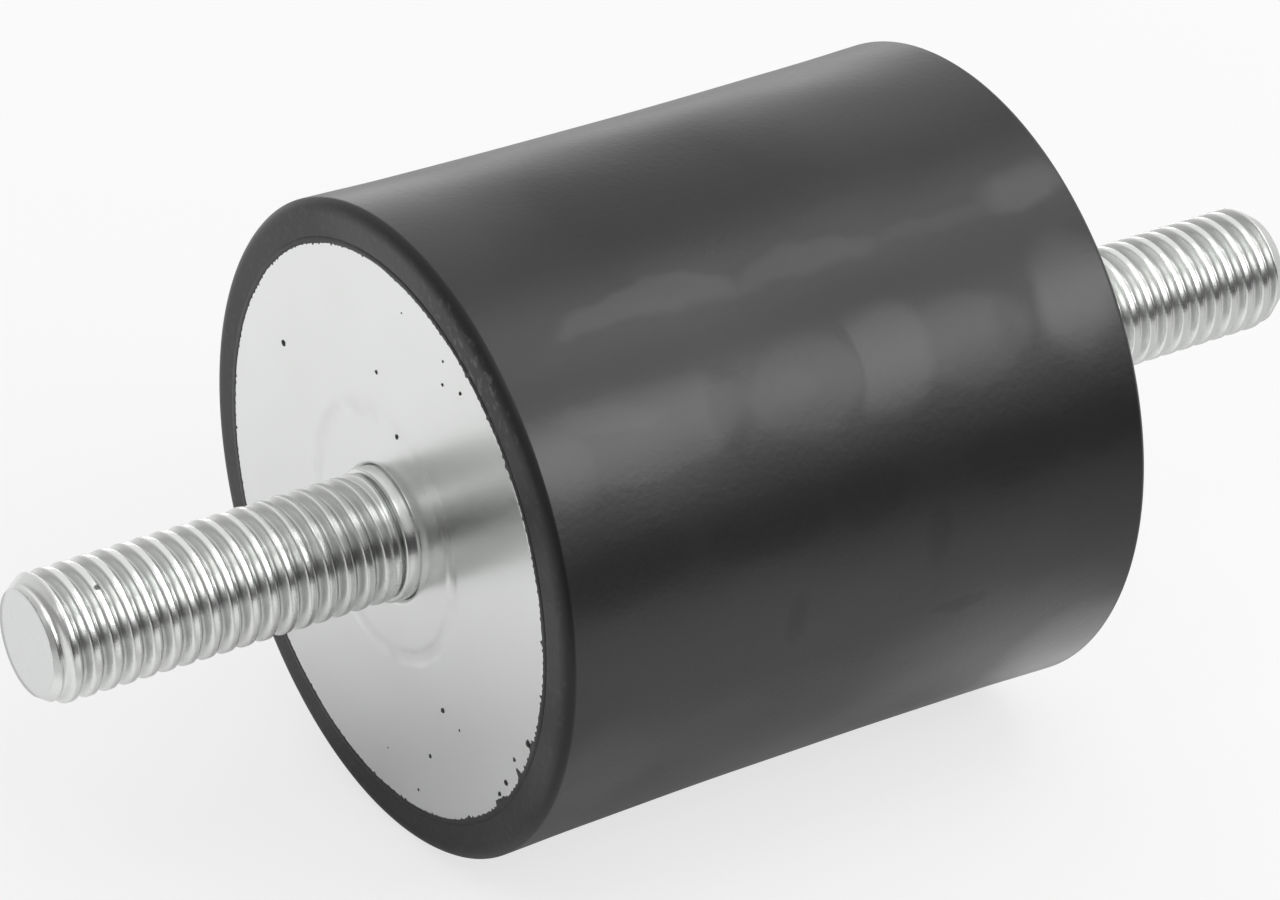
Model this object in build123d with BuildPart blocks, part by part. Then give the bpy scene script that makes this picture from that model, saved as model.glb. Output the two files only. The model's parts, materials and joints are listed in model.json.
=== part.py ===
from build123d import *
import os

# A double-male bobbin mount, lying on its side: a rubber cylinder moulded round two
# steel end plates, each with a headed M8 stud pressed through its middle from the
# rubber side. Millimetres, +Y along the axis and +Z up. The front end faces -Y.
# The origin is the centre of the rubber body.

# Rubber body
body_diameter = 39.3       # over the two rims, the widest places of the wall
body_length = 40.0         # from seat face to seat face, with no load
waist_depth = 0.24         # how far the wall draws in at mid length
shoulder_width = 0.95      # radial width of the rounding between end face and rim
shoulder_drop = 0.57       # how far the rim lies behind the end face
rubber_ring_width = 2.5    # rubber that shows round each plate

# End plates
plate_thickness = 2.0
hole_chamfer = 0.25        # broken edge of the stud hole, on the seat side
mark_width = 0.8           # shallow coined ring over the edge of the stud's head
mark_depth = 0.1

# Studs, M8 x 1.25
stud_length = 23.0         # from the seat face to the tip
thread_diameter = 7.9      # over the crests
thread_pitch = 1.25
groove_depth = 0.6         # between the ridges that stand for the thread
groove_width = 0.46        # at the crests
root_width = 0.16          # at the bottom of a groove
collar_diameter = 8.0      # plain neck, a press fit in the plate
collar_length = 0.75       # how far the neck stands out of the plate
undercut_diameter = 7.1    # relief between the neck and the thread
undercut_width = 0.4
thread_start_chamfer = 0.25
tip_face_diameter = 6.3    # flat left by the lead-in chamfer
tip_chamfer_length = 1.0   # along the axis
head_diameter = 15.0       # flat head, held in the rubber behind the plate
head_thickness = 1.6

# Sizes that follow
half_length = body_length / 2
rim_radius = body_diameter / 2
rim_station = half_length - shoulder_drop
waist_radius = rim_radius - waist_depth
land_radius = rim_radius - shoulder_width
plate_radius = rim_radius - rubber_ring_width
collar_radius = collar_diameter / 2
undercut_radius = undercut_diameter / 2
thread_radius = thread_diameter / 2
head_radius = head_diameter / 2
tip_face_radius = tip_face_diameter / 2
root_radius = thread_radius - groove_depth
thread_start = collar_length + undercut_width
crests_from = thread_start + thread_start_chamfer
crests_to = stud_length - tip_chamfer_length
groove_count = int((crests_to - crests_from) / thread_pitch)
first_groove = (crests_from + crests_to - (groove_count - 1) * thread_pitch) / 2

# Half the section of a stud, as (radius, height over the seat): head, neck and relief,
# then ridges and grooves, which are plain rings one pitch apart, and the lead-in chamfer.
stud_outline = [
    (0, -plate_thickness - head_thickness),
    (head_radius, -plate_thickness - head_thickness),
    (head_radius, -plate_thickness),
    (collar_radius, -plate_thickness),
    (collar_radius, collar_length),
    (undercut_radius, collar_length),
    (undercut_radius, thread_start),
    (thread_radius - thread_start_chamfer, thread_start),
    (thread_radius, crests_from),
]
for groove in range(groove_count):
    middle = first_groove + groove * thread_pitch
    stud_outline += [
        (thread_radius, middle - groove_width / 2),
        (root_radius, middle - root_width / 2),
        (root_radius, middle + root_width / 2),
        (thread_radius, middle + groove_width / 2),
    ]
stud_outline += [(thread_radius, crests_to), (tip_face_radius, stud_length), (0, stud_length)]

# One seat plane at each end, on the outer face of the plate and facing outwards
seats = {
    "front": Plane(origin=(0, -half_length, 0), z_dir=(0, -1, 0)),
    "rear": Plane(origin=(0, half_length, 0), z_dir=(0, 1, 0)),
}

os.makedirs("parts", exist_ok=True)

# The rubber: a barrel with a slightly hollow wall and rounded shoulders, and at each
# end a stepped pocket that the plate and the stud's head fill.
with BuildPart() as rubber_body:
    with BuildSketch(Plane.XY):
        with BuildLine():
            ThreePointArc((rim_radius, -rim_station), (waist_radius, 0), (rim_radius, rim_station))
            front_land = (land_radius, -half_length)
            rear_land = (land_radius, half_length)
            Polyline(rear_land, (0, half_length), (0, -half_length), front_land)
            TangentArc(front_land, (rim_radius, -rim_station), tangent=(1, 0))
            TangentArc(rear_land, (rim_radius, rim_station), tangent=(1, 0))
        make_face()
    revolve(axis=Axis.Y)
    for seat in seats.values():
        with BuildSketch(seat):
            Circle(plate_radius)
        extrude(amount=-plate_thickness, mode=Mode.SUBTRACT)
        with BuildSketch(seat.offset(-plate_thickness)):
            Circle(head_radius)
        extrude(amount=-head_thickness, mode=Mode.SUBTRACT)
rubber_body.part.label = "rubber_body"
export_step(rubber_body.part, "parts/rubber_body.step")

for end, seat in seats.items():
    outwards = Axis(seat.origin, seat.z_dir)

    # The plate: a flat disc, flush with the rubber, whose hole takes the stud's neck.
    with BuildPart() as end_plate:
        with BuildSketch(seat):
            Circle(plate_radius)
            Circle(collar_radius, mode=Mode.SUBTRACT)
        extrude(amount=-plate_thickness)
        seat_face = end_plate.faces().sort_by(outwards)[-1]
        chamfer(seat_face.edges().sort_by(SortBy.RADIUS)[0], length=hole_chamfer)
        with BuildSketch(seat):
            Circle(head_radius + mark_width / 2)
            Circle(head_radius - mark_width / 2, mode=Mode.SUBTRACT)
        extrude(amount=-mark_depth, mode=Mode.SUBTRACT)
    end_plate.part.label = end + "_plate"
    export_step(end_plate.part, "parts/" + end_plate.part.label + ".step")

    # The stud: its outline turned about the axis, with heights along the seat's normal.
    with BuildPart() as end_stud:
        with BuildSketch(Plane(seat.origin, x_dir=seat.x_dir, z_dir=seat.x_dir.cross(seat.z_dir))):
            with BuildLine():
                Polyline(*stud_outline, close=True)
            make_face()
        revolve(axis=outwards)
    end_stud.part.label = end + "_stud"
    export_step(end_stud.part, "parts/" + end_stud.part.label + ".step")
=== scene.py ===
"""A double-male bobbin vibration mount, lying on its side on a pale floor.

A rubber cylinder holds a zinc-plated steel plate flush in each end, and an M8 stud stands out
of each plate. The axis of the mount is +Y, its middle is the origin, and the sizes below are in
millimetres until a mesh is made.
"""
import json
import math
import bmesh
import bpy
import numpy as np
from mathutils import Matrix, Vector


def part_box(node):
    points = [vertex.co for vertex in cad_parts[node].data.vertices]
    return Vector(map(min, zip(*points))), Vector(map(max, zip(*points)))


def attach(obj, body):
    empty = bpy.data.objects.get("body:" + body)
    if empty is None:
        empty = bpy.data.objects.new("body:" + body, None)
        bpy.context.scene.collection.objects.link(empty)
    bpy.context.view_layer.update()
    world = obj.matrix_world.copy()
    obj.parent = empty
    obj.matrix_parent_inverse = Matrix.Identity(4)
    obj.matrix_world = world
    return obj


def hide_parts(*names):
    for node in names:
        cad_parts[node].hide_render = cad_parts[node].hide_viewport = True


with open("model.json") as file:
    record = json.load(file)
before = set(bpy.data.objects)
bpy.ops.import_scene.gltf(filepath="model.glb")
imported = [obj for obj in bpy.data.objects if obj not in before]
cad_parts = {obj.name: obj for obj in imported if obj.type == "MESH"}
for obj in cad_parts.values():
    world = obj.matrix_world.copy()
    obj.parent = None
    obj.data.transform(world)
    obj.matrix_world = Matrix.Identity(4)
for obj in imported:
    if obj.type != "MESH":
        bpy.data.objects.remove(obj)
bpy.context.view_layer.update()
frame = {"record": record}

MM = 0.001
TURN = 2 * math.pi


# ---------------------------------------------------------------- sizes
def node_box(node):
    """Lowest and highest corner of a solid, in millimetres."""
    low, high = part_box(node)
    return np.array(low) / MM, np.array(high) / MM


rubber_low, rubber_high = node_box("rubber_body")
plate_low, plate_high = node_box("rear_plate")
stud_low, stud_high = node_box("rear_stud")
stud_mount = next(m for m in frame["record"]["mounts"] if m["name"] == "rear_stud")

half_length = rubber_high[1]
rim_radius = rubber_high[0]
plate_radius = plate_high[0]
plate_thickness = plate_high[1] - plate_low[1]
head_radius = stud_high[0]
head_depth = half_length - stud_low[1]
stud_length = stud_high[1] - half_length
crest_relief = 0.12        # how far the helix's crests lie under the solid's rings
crest_radius = stud_mount["dims"]["r_mm"] - crest_relief

waist_depth = 0.24         # how far the rubber's wall draws in at mid length
shoulder_width = 0.95      # the rounding between the end face and the rim: across, and along the axis
shoulder_drop = 0.57
dent_depth = 0.03
neck_radius = 4.0          # the stud's neck, and the plate's hole
hole_chamfer = 0.25
mark_width = 1.2           # the coined ring over the edge of the stud's head
mark_depth = 0.04
collar_length = 0.75       # how far the neck stands out of the plate
undercut_radius = 3.5
undercut_width = 0.16
thread_lead_in = 0.25
tip_radius = 3.15
tip_chamfer = 1.0
pitch = 1.25
crest_flat = 0.36 * pitch
thread_depth = 0.55

# Patches of sheen on the rubber, in degrees round the axis and millimetres along it:
# angle, place, half angle, half length, gain, softness of the edge.
upper_cells = [
    (54.5, -9.3, 6.5, 6.0, 0.23, 0.25), (54.5, 1.2, 5.5, 5.2, 0.18, 0.3), (54.5, 10.6, 3.6, 4.6, 0.11, 0.4),
    (56.5, 16.9, 5, 2.4, 0.32, 0.8)]
front_cells = [
    (36.5, -12.4, 8, 6.6, 0.19, 0.3), (35, -17.8, 6.5, 2.4, 0.28, 0.8), (40.5, -14.2, 2.8, 4, 0.29, 0.8),
    (35.5, -1.6, 8.5, 4.0, 0.15, 0.35), (36, -2.5, 4, 2.2, 0.20, 0.9)]
rear_cells = [
    (36, 3.8, 9.5, 3.4, 0.29, 0.4), (35.5, 9.4, 8.5, 4.2, 0.14, 0.3), (37, 17.0, 10.5, 2.6, 0.31, 0.6)]
back_cells = [
    (143, -9.5, 9, 6.4, 0.17, 0.9), (140.5, 2.5, 8, 5.6, 0.13, 0.9), (146, 12.5, 9.5, 5.4, 0.2, 0.9),
    (162, -3, 7.5, 7.4, 0.08, 0.9), (-150, 6, 11, 6, 0.14, 0.95), (-133, -12, 9, 5, 0.17, 0.95)]
glows = [
    (90, -18, 18, 6, 0.22, 0.95), (88, 13, 14, 9, 0.22, 0.95), (-25, 10.5, 13, 8, 0.24, 0.95),
    (-34, 17, 12, 5, 0.55, 0.95), (-24, -17, 10, 4, 0.16, 0.95)]
dull_spots = [
    (36, -6.9, 7, 1.1, 0.12, 0.9), (36, 13, 7, 1.5, 0.12, 0.9), (80, -3, 22, 9, 0.14, 0.95),
    (15, -16, 5, 4, 0.2, 0.8), (15, -6, 5, 4, 0.2, 0.8), (15, 1, 5, 3, 0.2, 0.8),
    (14, 11.5, 5, 3.5, 0.2, 0.8), (15.5, 17, 6, 2.4, 0.2, 0.8), (-12, 7.4, 1.3, 2.2, 0.14, 0.6),
    (-2.5, -4.8, 3.5, 0.7, 0.12, 0.8), (3, 5.2, 5, 0.8, 0.12, 0.8)]

# Tongues of rubber that lap over the plates: angle in degrees, length, half width in degrees.
tongues = [
    (-43.4, 0.3, 1.5), (-40.9, 0.22, 0.8), (-30.9, 0.55, 0.75), (-21.5, 0.24, 1.1),
    (3.5, 0.12, 0.6), (38, 0.14, 0.5), (57, 0.12, 0.5), (-58, 0.14, 0.8)]

# Crumbs of rubber on the front plate: place across, place up, size.
flecks = [
    (-11.0, 7.4, 0.19), (-0.4, 10.2, 0.13), (6.9, 14.1, 0.09), (6.8, 12.6, 0.11), (8.7, 12.9, 0.13),
    (1.7, 7.0, 0.15), (6.3, -8.7, 0.17), (8.1, -9.1, 0.08), (4.8, -12.5, 0.13), (3.4, -15.5, 0.09),
    (13.1, -10.0, 0.17), (12.4, -11.1, 0.15), (14.0, -8.0, 0.13), (15.5, -6.2, 0.22), (-10.5, -3.5, 0.07),
    (0.0, -14.4, 0.06), (2.5, 15.2, 0.06)]

# A speck of dirt on a crest of the front stud.
speck_place = (1.87, -39.4, 3.34)
speck_radius = 0.19


# ---------------------------------------------------------------- curves
def ease(x):
    """The smooth step 3x^2 - 2x^3, held at 0 below 0 and at 1 above 1."""
    x = np.clip(x, 0, 1)
    return x * x * (3 - 2 * x)


def soft_max(x, width):
    """The larger of x and 0, rounded over a width: half the sum of x and the root of x^2 + width^2."""
    return (x + np.sqrt(x * x + width * width)) / 2


def waves(angle, orders, seed):
    """A periodic ripple between about -1 and 1: cosines of whole orders with seeded phases."""
    chance = np.random.default_rng(seed)
    phases = chance.uniform(0, TURN, len(orders))
    sizes = chance.uniform(0.5, 1, len(orders))
    ripple = sum(size * np.cos(order * angle + phase) for size, order, phase in zip(sizes, orders, phases))
    return ripple / np.sqrt(np.sum(sizes ** 2) * 2)


def angles(columns):
    """One angle for each column, evenly spaced round the axis, as a single row."""
    return np.arange(columns)[None, :] * TURN / columns


def along(corners, counts):
    """Points on straight runs through the corners, with the given number of steps to each run."""
    runs = [np.linspace(a, b, n, endpoint=False) for a, b, n in zip(corners, corners[1:], counts)]
    return np.vstack(runs + [np.array(corners[-1:], float)])


# ---------------------------------------------------------------- meshes
def turned(radius, station, columns):
    """Points at the given radius and station along +Y, for each row of a profile and each angle."""
    angle = angles(columns)
    radius, station = np.broadcast_arrays(radius, station)
    ones = np.ones_like(angle)
    return np.stack([radius * np.cos(angle), station * ones, radius * np.sin(angle)], -1)


def half_turn(points):
    """The same shape at the front end: turned by half a turn about Z, which keeps a thread right-handed."""
    return points * (-1, -1, 1)


def grid_piece(name, points, node, material, loop=False, seam_rows=None):
    """Makes a closed piece from a grid of points, rows along the profile and columns round the axis.

    Each quad joins a row to the next and a column to the next, and the last column joins the first.
    seam_rows gives the row that each row meets across that seam. Points in one place are merged,
    which closes the poles. A further axis in front of the rows holds several shells for one piece.
    """
    index = np.arange(points[..., 0].size).reshape(points.shape[:-1])
    beside = np.roll(index, -1, axis=-1)
    if seam_rows is not None:
        beside[..., -1] = index[..., seam_rows, 0]
    if loop:
        index = np.concatenate([index, index[..., :1, :]], -2)
        beside = np.concatenate([beside, beside[..., :1, :]], -2)
    quads = np.stack([index[..., :-1, :], index[..., 1:, :], beside[..., 1:, :], beside[..., :-1, :]], -1)
    quads = quads.reshape(-1, 4)
    mesh = bpy.data.meshes.new(name)
    mesh.from_pydata((points.reshape(-1, 3) * MM).tolist(), [], quads.tolist())
    merged = bmesh.new()
    merged.from_mesh(mesh)
    bmesh.ops.remove_doubles(merged, verts=merged.verts, dist=0.0001 * MM)
    merged.to_mesh(mesh)
    merged.free()
    mesh.shade_smooth()
    mesh.materials.append(material)
    piece = bpy.data.objects.new(name, mesh)
    bpy.context.scene.collection.objects.link(piece)
    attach(piece, "root")
    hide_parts(node)
    return piece


def rubber_barrel(material):
    """The rubber, as one turned profile run from the front pocket's floor round to the rear one's.

    Wall: a shallow parabola, deepest at mid length, less faint dents that fade out at the rims. Dents:
    products of a whole-order cosine of the angle and a cosine along the axis. Shoulder: an arc that
    leaves the end face level and meets the wall at the rim.
    """
    columns, wall_rows, shoulder_rows = 480, 46, 10
    dent_waves = ((5, 31), (9, 17), (14, 23), (19, 11))    # order round the axis, length along it
    dent_fade = 5
    angle = angles(columns)
    rim_station = half_length - shoulder_drop
    shoulder_arc = (shoulder_width ** 2 + shoulder_drop ** 2) / (2 * shoulder_drop)
    land_radius = rim_radius - shoulder_width

    share = np.sin(np.linspace(0, math.pi / 2, wall_rows))
    wall = np.stack([rim_radius - waist_depth * (1 - share ** 2), rim_station * share], -1)
    lean = np.linspace(math.asin(shoulder_width / shoulder_arc), 0, shoulder_rows)[1:]
    shoulder = np.stack([land_radius + shoulder_arc * np.sin(lean),
                         half_length - shoulder_arc * (1 - np.cos(lean))], -1)
    inside = along([(land_radius, half_length), (plate_radius, half_length),
                    (plate_radius, half_length - plate_thickness),
                    (head_radius, half_length - plate_thickness), (head_radius, half_length - head_depth),
                    (0, half_length - head_depth)], [4, 2, 3, 2, 2])[1:]
    end_rows = np.vstack([wall, shoulder, inside])
    profile = np.vstack([end_rows[:0:-1] * (1, -1), end_rows])
    radius, station = profile[:, :1], profile[:, 1:]

    chance = np.random.default_rng(5)
    dents = sum(np.cos(order * angle + chance.uniform(0, TURN))
                * np.cos(TURN * station / length + chance.uniform(0, TURN))
                for order, length in dent_waves)
    on_wall = radius > rim_radius - 2 * waist_depth
    fade = ease((rim_station - np.abs(station)) / dent_fade) * on_wall
    radius = radius - dent_depth * fade * (1 + dents / len(dent_waves))
    return grid_piece("rubber_barrel", turned(radius, station, columns), "rubber_body", material)


def rubber_flash(end, material):
    """The thin skin of rubber that laps over an end plate's edge, as a closed loop of profile.

    Its lip stands inside the plate's edge by fine uneven teeth, a sum of high-order cosines whose
    size swells and falls with the angle, and by a few longer tongues, each a narrow bell.
    """
    columns = 2160
    angle = angles(columns)
    seed = 11 if end == "front" else 23
    least, tooth_length, ripple = 0.04, 0.15, 0.05
    lip_height, lap_height = 0.006, 0.014
    teeth = soft_max(waves(angle, [149, 181, 211, 239, 277], seed), 0.3)
    swell = 0.8 + 0.35 * waves(angle, [1, 2, 5, 9], seed + 1)
    flash = least + tooth_length * teeth * swell + ripple * waves(angle, [4, 11, 23, 37], seed + 2)
    for place, length, half_width in tongues:
        off = np.degrees((angle - math.radians(180 - place) + math.pi) % TURN - math.pi)
        flash = flash + length * np.exp(-np.abs(off / half_width) ** 3)
    lip = plate_radius - np.maximum(flash, 0.02)
    edge = np.full_like(angle, plate_radius)
    level = np.full_like(angle, half_length)
    # From under the plate's face, up over the lip and back out onto the rubber's end face.
    radius = np.vstack([edge + 0.1, lip + 0.02, lip, lip + 0.04, edge + 0.05, edge + 0.5])
    station = np.vstack([level - 0.05, level - 0.03, level + lip_height,
                         level + lap_height, level + lap_height, level - 0.008])
    points = turned(radius[::-1], station[::-1], columns)
    points = half_turn(points) if end == "front" else points
    return grid_piece(end + "_rubber_flash", points, "rubber_body", material, loop=True)


def rubber_flecks(material):
    """Crumbs of rubber stuck on the end plates: flattened domes with an uneven outline."""
    columns, unevenness = 14, 0.3
    angle = angles(columns)
    chance = np.random.default_rng(3)
    rear_count, rear_reach = 9, 15
    rear_places = [(rear_reach * math.sqrt(chance.uniform(0.2, 1)), chance.uniform(0, TURN))
                   for _ in range(rear_count)]
    places = [("front", -x, z, size) for x, z, size in flecks]
    places += [("rear", r * math.cos(a), r * math.sin(a), chance.uniform(0.09, 0.17)) for r, a in rear_places]
    # The dome's profile, in shares of its size: out from its middle, and up from the plate.
    reach = np.array([0, 1, 1, 0.86, 0.5, 0])[:, None]
    rise = np.array([-0.1, -0.1, 0, 0.25, 0.42, 0.46])[:, None]
    shells = []
    for number, (end, x, z, size) in enumerate(places):
        outline = size * (1 + unevenness * waves(angle, [1, 2, 3, 5], 40 + number))
        shell = turned(reach * outline, half_length + rise * size, columns) + (x, 0, z)
        shells.append(half_turn(shell) if end == "front" else shell)
    return grid_piece("rubber_flecks", np.array(shells), "rubber_body", material)


def end_disc(end, material):
    """An end plate: a closed loop of profile, with the hole's chamfer and a shallow coined ring.

    The ring is a trench with eased sides. Its depth swells and falls with the angle.
    """
    columns, face_rows = 256, 110
    edge = 0.04
    mark_slope = 0.4
    mark_in, mark_out = head_radius - mark_width / 2, head_radius + mark_width / 2
    bottom = along([(neck_radius, -plate_thickness), (plate_radius, -plate_thickness)], [3])
    rim = along([(plate_radius, -edge), (plate_radius - edge, 0)], [3])
    face_radius = np.linspace(plate_radius - edge, neck_radius + hole_chamfer, face_rows)[1:]
    hole = along([(neck_radius + hole_chamfer * 0.8, -0.02), (neck_radius, -hole_chamfer)], [3])
    profile = np.vstack([bottom, rim, np.stack([face_radius, face_radius * 0], -1), hole])
    radius, height = profile[:, :1], profile[:, 1:]
    on_face = height > -0.01
    groove = ease((radius - mark_in) / mark_slope) * ease((mark_out - radius) / mark_slope) * on_face
    seed = 8 if end == "front" else 9
    broken = 0.25 + 0.75 * ease(0.5 + waves(angles(columns), [1, 2, 3, 5], seed))
    points = turned(radius, half_length + height - mark_depth * groove * broken, columns)
    points = half_turn(points) if end == "front" else points
    return grid_piece(end + "_disc", points, end + "_plate", material, loop=True)


def threaded_stud(end, material):
    """A headed stud: a turned head, neck and undercut, then a rolled right-hand thread.

    The thread's radius is the crest radius less a depth that depends only on how far a point lies
    from the nearest crest, measured along the axis. The crest moves back by one pitch in each turn
    of the angle. The rows follow the crest, so the row that leaves the last column one pitch
    further on meets the first column there. Roots fade in past the undercut, and a cone cuts the tip.
    """
    columns, rows_a_turn = 180, 20
    head_edge, collar_edge, fillet = 0.2, 0.1, 0.05
    crest_rounding, root_rounding = 0.06, 0.12
    run_in = 0.6 * pitch
    flank_slope = math.sqrt(3)    # depth for each length along the axis, with 60 degrees between flanks
    angle = angles(columns)
    thread_start = collar_length + undercut_width + thread_lead_in
    blank = along([
        (0, -head_depth), (head_radius - head_edge, -head_depth), (head_radius, -head_depth + head_edge),
        (head_radius, -plate_thickness), (neck_radius, -plate_thickness),
        (neck_radius, collar_length - collar_edge), (neck_radius - collar_edge, collar_length),
        (undercut_radius + fillet, collar_length + 0.01), (undercut_radius, collar_length + fillet),
        (undercut_radius, collar_length + undercut_width - 0.03),
        (crest_radius - 0.1, collar_length + undercut_width), (crest_radius, thread_start),
    ], [3, 2, 2, 2, 3, 2, 2, 2, 2, 3, 2])[:-1]

    turns = (stud_length - thread_start) / pitch
    rows = math.ceil((turns + 1) * rows_a_turn)
    place = thread_start + (np.arange(rows + 1)[:, None] / rows_a_turn - angle / TURN) * pitch
    station = np.clip(place, thread_start, stud_length)
    phase = (station - thread_start) / pitch + angle / TURN
    off_crest = np.abs((phase + 0.5) % 1 - 0.5) * pitch
    flank = (off_crest - crest_flat / 2) * flank_slope
    depth = thread_depth - soft_max(thread_depth - soft_max(flank, crest_rounding), root_rounding)
    depth = depth * ease((station - thread_start) / run_in)
    cone = tip_radius + (stud_length - station) * (crest_radius - tip_radius) / tip_chamfer
    radius = np.minimum(crest_radius - depth, cone)

    tip = along([(tip_radius, stud_length), (0, stud_length)], [6])[1:]
    radius = np.vstack([np.repeat(blank[:, :1], columns, 1), radius, np.repeat(tip[:, :1], columns, 1)])
    station = np.vstack([np.repeat(blank[:, 1:], columns, 1), station, np.repeat(tip[:, 1:], columns, 1)])
    seam_rows = np.arange(len(radius))
    threaded = slice(len(blank), len(blank) + rows + 1)
    seam_rows[threaded] = np.maximum(seam_rows[threaded] - rows_a_turn, len(blank))
    points = turned(radius, half_length + station, columns)
    points = half_turn(points) if end == "front" else points
    return grid_piece(end + "_threaded_stud", points, end + "_stud", material,
                      seam_rows=seam_rows)


# ---------------------------------------------------------------- finishes
class Signal:
    """A number or colour on a socket. Arithmetic on it adds Math nodes to its finish."""

    def __init__(self, finish, socket):
        self.finish = finish
        self.socket = socket

    def __add__(self, other):
        return self.finish.maths("ADD", self, other)

    def __sub__(self, other):
        return self.finish.maths("SUBTRACT", self, other)

    def __rsub__(self, other):
        return self.finish.maths("SUBTRACT", other, self)

    def __mul__(self, other):
        return self.finish.maths("MULTIPLY", self, other)

    def __truediv__(self, other):
        return self.finish.maths("DIVIDE", self, other)

    def __abs__(self):
        return self.finish.maths("ABSOLUTE", self)

    __radd__ = __add__
    __rmul__ = __mul__

    def between(self, low, high):
        """0 at low, 1 at high, and a smooth step between them."""
        return self.finish.node("ShaderNodeMapRange", {"interpolation_type": "SMOOTHSTEP"},
                                {"Value": self, "From Min": low, "From Max": high})


class Finish:
    """A material or world built from nodes."""

    def __init__(self, name, holder=None):
        self.holder = holder or bpy.data.materials.new(name)
        self.holder.use_nodes = True
        self.tree = self.holder.node_tree
        self.tree.nodes.clear()

    def node(self, kind, settings=None, sockets=None, output=0):
        """Adds a node, applies its settings, fills its sockets and returns one output."""
        made = self.tree.nodes.new(kind)
        for key, value in (settings or {}).items():
            setattr(made, key, value)
        for key, value in (sockets or {}).items():
            if isinstance(value, Signal):
                self.tree.links.new(value.socket, made.inputs[key])
            else:
                made.inputs[key].default_value = value
        return Signal(self, made.outputs[output]) if made.outputs else made

    def maths(self, operation, *values):
        """A Math node on numbers or signals."""
        return self.node("ShaderNodeMath", {"operation": operation}, dict(enumerate(values)))

    def length(self, first, *others):
        """The length of a vector, from its parts."""
        total = first * first
        for part in others:
            total = total + part * part
        return self.maths("SQRT", total)

    def place(self):
        """Object coordinates, in metres."""
        return self.node("ShaderNodeTexCoord", output="Object")

    def axes(self):
        """Object coordinates x, y and z, in millimetres."""
        return [self.node("ShaderNodeSeparateXYZ", {}, {0: self.place()}, axis) / MM for axis in "XYZ"]

    def noise(self, scale, detail=3, roughness=0.5, stretch=(1, 1, 1)):
        """Noise between about 0 and 1, with a number of features to a metre, scaled on each axis."""
        place = self.node("ShaderNodeMapping", {}, {"Vector": self.place(), "Scale": stretch})
        return self.node("ShaderNodeTexNoise", {}, {
            "Vector": place, "Scale": scale, "Detail": detail, "Roughness": roughness})

    def blend(self, share, first, second):
        """A colour that goes from first to second as share goes from 0 to 1."""
        return self.node("ShaderNodeMix", {"data_type": "RGBA"}, {"Factor": share, 6: first, 7: second}, 2)

    def bump(self, height, distance):
        """A normal tilted by a height in 0 to 1 over the given distance, in metres."""
        return self.node("ShaderNodeBump", {}, {"Height": height, "Distance": distance, "Strength": 1})

    def surface(self, **sockets):
        """Ends the tree in one Principled shader. Names have _ for a space."""
        named = {key.replace("_", " "): value for key, value in sockets.items()}
        shader = self.node("ShaderNodeBsdfPrincipled", {}, named)
        self.node("ShaderNodeOutputMaterial", {}, {"Surface": shader})
        return self.holder


def grey(level, tint=(1, 1, 1)):
    """A grey of the given level, or one tinted by a share for each channel."""
    return (level * tint[0], level * tint[1], level * tint[2], 1)


def moulded_rubber():
    """Black rubber: satin, with soft-edged cells of more and less sheen, a fine grain and duller ends.

    A patch is an ellipse in the angle round the axis and the place along it, with a smooth edge.
    Dust lies on the end faces, most of it in one smear.
    """
    finish = Finish("moulded_rubber")
    x, y, z = finish.axes()
    clouds = finish.noise(70, 3, 0.5, (1, 0.45, 1)).between(0.42, 0.68)
    grain = finish.noise(2600, 2, 0.6)
    mottle = finish.noise(420, 3, 0.6)
    bloom = clouds * 0.6 + mottle * 0.4
    angle = finish.maths("ARCTAN2", z, x) * (360 / TURN) + (finish.noise(230, 2) - 0.5) * 7
    place = y + (finish.noise(190, 2) - 0.5) * 3

    def strongest(patches):
        """The gain of whichever patch is strongest at a place."""
        best = 0.0
        for at, middle, half_angle, half_span, gain, softness in patches:
            across = (angle - at) / half_angle
            lengthways = (place - middle) / half_span
            patch = (across * across + lengthways * lengthways).between(1 + softness, 1 - softness) * gain
            best = finish.maths("MAXIMUM", patch, best)
        return best

    # The front and rear cells meet at a border that bends back on both sides of its middle. The
    # upper cells end at a straight one.
    border_angle, border_place, border_bend = 36, 2.3, 90
    bend = (angle - border_angle) * (angle - border_angle) / border_bend
    fold = (place + bend - border_place).between(-0.25, 0.25)
    cells = strongest(front_cells) * (1 - fold) + strongest(rear_cells) * fold
    cells = cells + strongest(upper_cells) * angle.between(53, 55.5)
    sheen = clouds * 0.08 + cells + strongest(back_cells) + strongest(glows) + 0.1 - strongest(dull_spots)
    end_face = abs(y).between(half_length - 0.25, half_length - 0.05)
    rim_station = half_length - shoulder_drop
    shoulder = abs(y).between(rim_station, rim_station + 0.1) * (1 - end_face)
    smear = angle.between(34, 52) * angle.between(80, 62)
    dust = finish.noise(1900, 2, 0.5).between(0.50, 0.70) * end_face * (0.2 + smear * 0.8)
    return finish.surface(
        Base_Color=finish.blend(dust * 0.8, finish.blend(bloom, grey(0.009), grey(0.014)), grey(0.09)),
        Roughness=0.37 - clouds * 0.04 + grain * 0.04 + end_face * 0.1,
        Specular_IOR_Level=0.42,
        Coat_Weight=finish.maths("MAXIMUM", sheen, 0.0) * (1 - shoulder * 0.9),
        Coat_Roughness=0.34,
        Normal=finish.bump(grain * 0.7 + mottle * 0.3, 0.00002))


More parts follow.
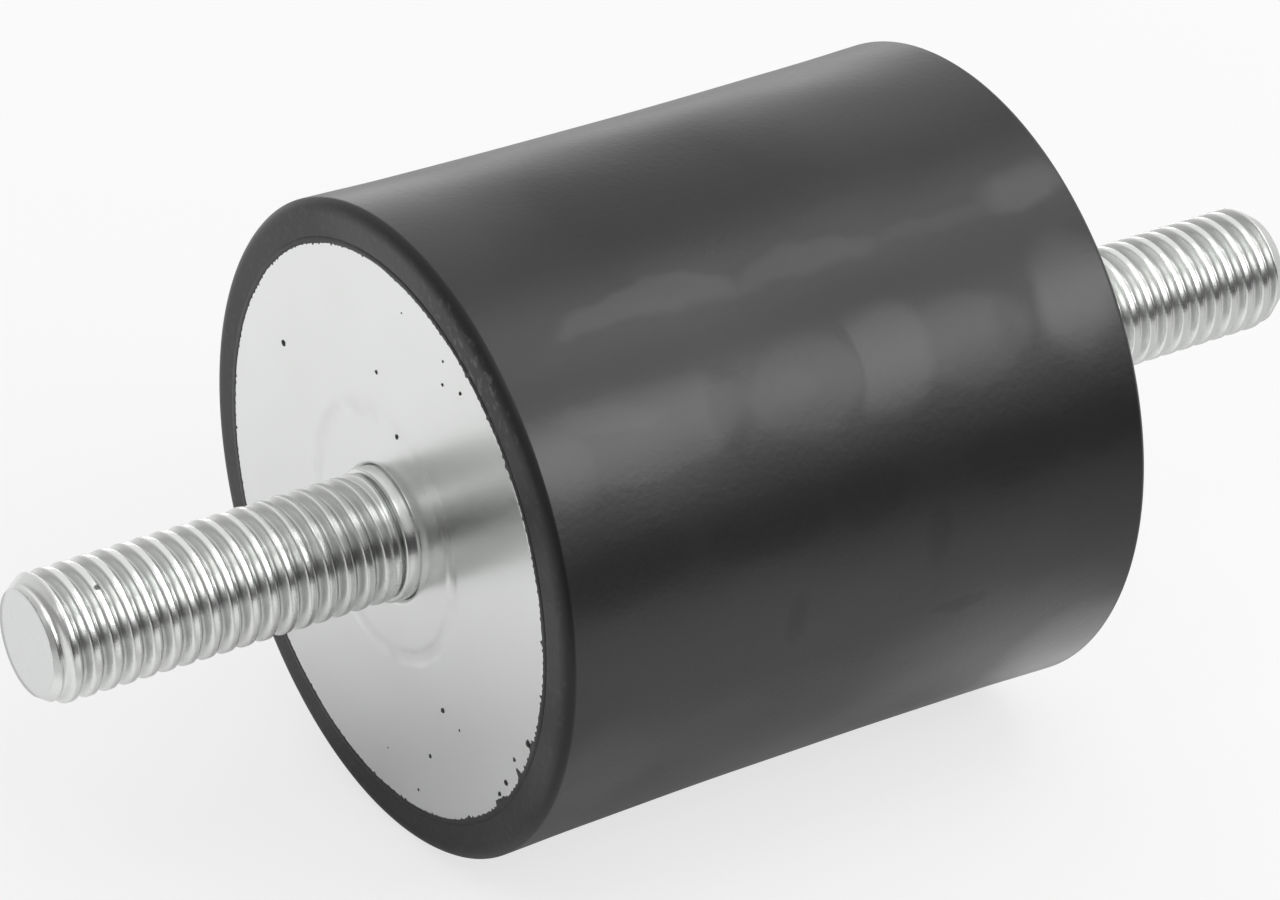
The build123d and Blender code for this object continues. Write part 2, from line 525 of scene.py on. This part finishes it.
def zinc_plate():
    """Clear zinc on flat sheet: an even sheen, faint mottling, and a stained ring over the stud's head."""
    finish = Finish("zinc_plate")
    x, _, z = finish.axes()
    radius = finish.length(x, z)
    mottle = finish.noise(160, 2, 0.5)
    grain = finish.noise(3000, 2, 0.6)
    ring = abs(radius - head_radius).between(mark_width * 0.8, mark_width * 0.2)
    stain = ring * finish.noise(330, 4, 0.65).between(0.38, 0.66)
    clean = finish.blend(mottle, grey(0.76, (0.99, 1, 0.985)), grey(0.82, (0.985, 1, 0.995)))
    return finish.surface(
        Base_Color=finish.blend(stain * 0.35, clean, grey(0.60)),
        Metallic=1.0,
        Roughness=0.235 + mottle * 0.03,
        Normal=finish.bump(grain, 0.0000025))


def zinc_thread():
    """Clear zinc on a rolled thread: bright crests, duller roots darkened by painted shade, a tip face
    painted darker as painted shade, and one speck of dirt.
    """
    finish = Finish("zinc_thread")
    x, y, z = finish.axes()
    radius = finish.length(x, z)
    tip_station = half_length + stud_length
    tip = abs(y).between(tip_station - tip_chamfer, tip_station - tip_chamfer * 0.7)
    end_face = abs(y).between(tip_station - 0.05, tip_station - 0.01)
    root = radius.between(crest_radius - 0.05, crest_radius - 0.45) * (1 - tip)
    from_speck = finish.length(*(axis - at for axis, at in zip((x, y, z), speck_place)))
    speck = from_speck.between(speck_radius * 1.4, speck_radius * 0.6)
    mottle = finish.noise(400, 3, 0.6)
    grain = finish.noise(3500, 2, 0.6)
    clean = finish.blend(mottle, grey(0.71, (0.98, 1, 0.99)), grey(0.84, (0.99, 1, 0.97)))
    # Painted shade: the tip's end face is coloured darker than the rest of the stud.
    clean = finish.blend(end_face, clean, grey(0.70, (0.985, 1, 0.99)))
    # Painted shade: the colour darkens into the thread's roots, where shade falls; the roots are also a
    # little rougher.
    root_shaded = finish.blend(root * 0.4, clean, grey(0.36, (0.98, 1, 0.98)))
    return finish.surface(
        Base_Color=finish.blend(speck, root_shaded, grey(0.1)),
        Metallic=1.0,
        Roughness=0.25 + mottle * 0.04 + root * 0.02,
        Normal=finish.bump(grain * 0.5 + mottle * 0.5, 0.00001))


# ---------------------------------------------------------------- studio
def pale_floor():
    """White card that stays white to the camera, glows a little in reflections, and keeps a light shadow.

    To reflections it carries painted shade behind the mount and beside the front stud, a glow that dims into
    a painted pool of shade near the front foot, and a painted spot of light near the rear stud. To the camera
    its shadow fades out with distance.
    """
    finish = Finish("pale_floor")
    camera_ray = finish.node("ShaderNodeLightPath", output="Is Camera Ray")
    mirrored = (finish.node("ShaderNodeLightPath", output="Is Glossy Ray")
                + finish.node("ShaderNodeLightPath", output="Is Transmission Ray"))
    x, y, _ = finish.axes()
    # Painted shade and painted light, seen only in reflections: the glow dims near the front foot, the card
    # is darker behind the mount and beside the front stud, and one spot near the rear stud glows brighter.
    away = finish.length(x, y + half_length).between(5, 35)
    behind = y.between(18, 45)
    beside = x.between(12, 20) * y.between(-21, -28) * mirrored
    back = finish.length(x - 10, y - 26).between(16, 6)
    far = finish.length(x, y).between(60, 260)
    shade = finish.blend(behind * mirrored, grey(0.8), grey(0.6))
    shade = finish.blend(beside, shade, grey(0.55))
    strength = (0.05 + away * 0.13) * (1 - behind * 0.8) * (1 - beside * 0.4) + back * 0.2
    card = finish.node("ShaderNodeBsdfDiffuse", {}, {"Color": shade})
    glow = finish.node("ShaderNodeEmission", {}, {"Color": grey(1.0), "Strength": mirrored * strength})
    card = finish.node("ShaderNodeAddShader", {}, {0: card, 1: glow})
    white = finish.node("ShaderNodeEmission", {}, {"Color": grey(1.0), "Strength": 1.0})
    whiteness = camera_ray * (0.72 + far * 0.28)
    mixed = finish.node("ShaderNodeMixShader", {}, {0: whiteness, 1: card, 2: white})
    finish.node("ShaderNodeOutputMaterial", {}, {"Surface": mixed})
    return finish.holder


def floor():
    """A flat disc under the rims of the rubber. Sizes in metres."""
    columns = 96
    rings = np.array([0.0, 0.3, 1.0, 4.0])[:, None]
    angle = angles(columns)
    level = np.full((len(rings), columns), rubber_low[2] * MM)
    points = np.stack([rings * np.cos(angle), rings * np.sin(angle), level], -1).reshape(-1, 3)
    index = np.arange(len(rings) * columns).reshape(len(rings), columns)
    beside = np.roll(index, -1, axis=1)
    quads = np.stack([index[:-1], index[1:], beside[1:], beside[:-1]], -1).reshape(-1, 4)
    mesh = bpy.data.meshes.new("floor")
    mesh.from_pydata(points.tolist(), [], quads.tolist())
    mesh.materials.append(pale_floor())
    piece = bpy.data.objects.new("floor", mesh)
    bpy.context.scene.collection.objects.link(piece)


def sky():
    """A surround that is bright behind the mount and dim in front of it, and white to the camera."""
    world = bpy.data.worlds.new("surround")
    bpy.context.scene.world = world
    finish = Finish("surround", world)
    direction = finish.node("ShaderNodeTexCoord", output="Generated")
    behind = finish.node("ShaderNodeVectorMath", {"operation": "DOT_PRODUCT"},
                         {0: direction, 1: tuple(towards(195, 20))}, "Value")
    shade = finish.blend(behind.between(-0.7, 0.6), grey(0.35), grey(0.95))
    seen = finish.node("ShaderNodeLightPath", output="Is Camera Ray")
    colour = finish.blend(seen, shade, grey(1.0))
    light = finish.node("ShaderNodeBackground", {}, {"Color": colour, "Strength": 1.0})
    finish.node("ShaderNodeOutputWorld", {}, {"Surface": light})


def dark_card(azimuth, distance, width, height):
    """A black card that stands on the floor, seen only in reflections. Sizes in metres."""
    away = towards(azimuth, 0)
    aside = Vector((0, 0, 1)).cross(away) * width / 2
    gap = 0.0005
    low = rubber_low[2] * MM + gap
    corners = [(*(away * distance + aside * side).xy, low + height * rise)
               for side, rise in ((-1, 0), (1, 0), (1, 1), (-1, 1))]
    mesh = bpy.data.meshes.new("dark_card")
    mesh.from_pydata(corners, [], [(0, 1, 2, 3)])
    black = Finish("dark_card").surface(Base_Color=grey(0.03), Roughness=0.9, Specular_IOR_Level=0.0)
    mesh.materials.append(black)
    card = bpy.data.objects.new("dark_card", mesh)
    card.visible_camera = False
    card.visible_diffuse = False
    card.visible_shadow = False
    bpy.context.scene.collection.objects.link(card)


def towards(azimuth, elevation):
    """The direction from the mount to an azimuth and elevation, in degrees. 0 is the front, 90 is +X."""
    a, e = math.radians(azimuth), math.radians(elevation)
    return Vector((math.sin(a) * math.cos(e), -math.cos(a) * math.cos(e), math.sin(e)))


def softbox(name, azimuth, elevation, distance, width, height, power):
    """A rectangular lamp that faces the mount. Angles in degrees, sizes in metres, power in watts."""
    lamp = bpy.data.lights.new(name, "AREA")
    lamp.shape = "RECTANGLE"
    lamp.size = width
    lamp.size_y = height
    lamp.energy = power
    holder = bpy.data.objects.new(name, lamp)
    away = towards(azimuth, elevation)
    holder.location = away * distance
    holder.rotation_euler = away.to_track_quat("Z", "Y").to_euler()
    bpy.context.scene.collection.objects.link(holder)


def camera():
    """The camera looks down on the front right of the mount. Sizes in millimetres, angles in degrees."""
    azimuth, elevation, distance = 56.85, 28.58, 346.15
    step_left, step_down, roll = 2.08, 0.46, math.radians(0.15)
    back = towards(azimuth, elevation)
    level = Vector((0, 0, 1)).cross(back).normalized()
    plumb = back.cross(level)
    right = level * math.cos(roll) + plumb * math.sin(roll)
    up = back.cross(right)
    lens = bpy.data.cameras.new("camera")
    lens.sensor_width = 36
    lens.lens = 165.5
    lens.clip_start = 0.01
    lens.clip_end = 20
    holder = bpy.data.objects.new("camera", lens)
    holder.matrix_world = (Matrix.Translation((back * distance - right * step_left - up * step_down) * MM)
                           @ Matrix((right, up, back)).transposed().to_4x4())
    bpy.context.scene.collection.objects.link(holder)
    bpy.context.scene.camera = holder


# ---------------------------------------------------------------- the mount
rubber_finish = moulded_rubber()
rubber_barrel(rubber_finish)
rubber_flecks(rubber_finish)
plate_finish = zinc_plate()
stud_finish = zinc_thread()
for end in ("front", "rear"):
    rubber_flash(end, rubber_finish)
    end_disc(end, plate_finish)
    threaded_stud(end, stud_finish)

camera()
floor()
sky()
dark_card(118, 0.11, 0.30, 0.042)
dark_card(62, 0.085, 0.09, 0.048)
softbox("key", 124, 34, 0.8, 0.30, 0.30, 1.6)
softbox("over", 160, 60, 0.8, 0.40, 0.16, 0.74)
softbox("rim", 240, 3, 0.8, 0.5, 0.10, 0.35)
softbox("front", 35, 56, 0.8, 0.36, 0.30, 0.5)
bpy.context.scene.view_settings.view_transform = "Standard"
